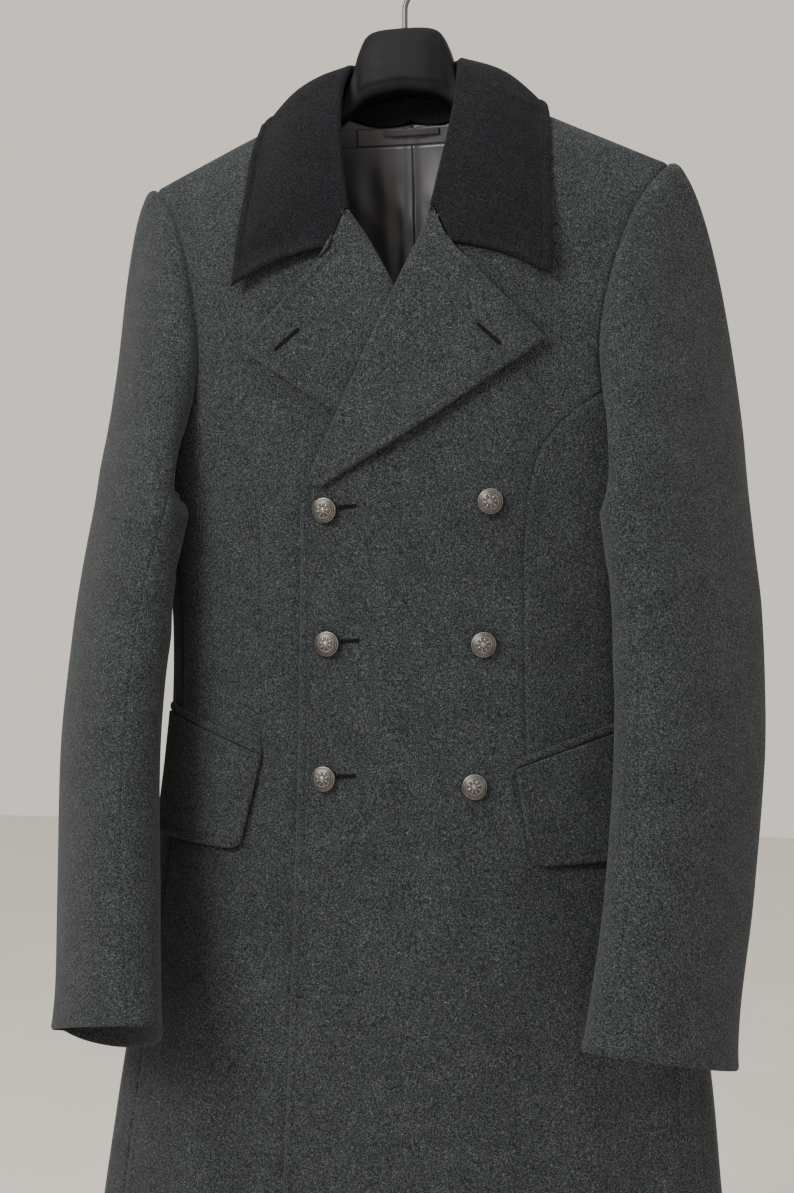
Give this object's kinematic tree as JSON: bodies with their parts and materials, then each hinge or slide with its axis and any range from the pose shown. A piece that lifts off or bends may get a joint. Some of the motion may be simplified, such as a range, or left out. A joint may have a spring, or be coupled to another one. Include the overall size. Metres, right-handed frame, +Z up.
{
  "type": "double-breasted coat and hanger",
  "caption": "Long double-breasted wool overcoat with wide lapels, a dark collar, metal buttons and flap pockets, hanging on a broad black plastic hanger with a wire hook.",
  "frame": {"origin": "the inside top of the hanger's hook, where a rail or peg bears", "axes": "+Z up, the coat's front faces -Y, +X towards the wearer's left"},
  "size_m": [0.6194, 0.2257, 1.2946],
  "materials": {
    "wool": "milled wool melton with a short nap",
    "collar_wool": "darker brushed wool",
    "satin": "plain satin lining",
    "loop_tape": "woven tape",
    "pewter": "antique grey metal",
    "black_plastic": "satin moulded plastic",
    "hook_wire": "dark steel wire"
  },
  "bodies": {
    "root": {"collar": "collar_wool", "front_left": "wool", "side_front_left": "wool", "back_left": "wool", "sleeve_top_left": "wool", "sleeve_under_left": "wool", "lapel_left": "wool", "pocket_flap_left": "wool", "pocket_welt_left": "wool", "front_right": "wool", "side_front_right": "wool", "back_right": "wool", "sleeve_top_right": "wool", "sleeve_under_right": "wool", "lapel_right": "wool", "pocket_flap_right": "wool", "pocket_welt_right": "wool", "lining_back_left": "satin", "lining_back_right": "satin", "lining_yoke": "satin", "button_hole_1": "pewter", "button_hole_2": "pewter", "button_hole_3": "pewter", "button_show_1": "pewter", "button_show_2": "pewter", "button_show_3": "pewter", "hanger_body": "black_plastic", "hanger_hook": "hook_wire", "hang_loop": "loop_tape"}
  },
  "joints": []
}
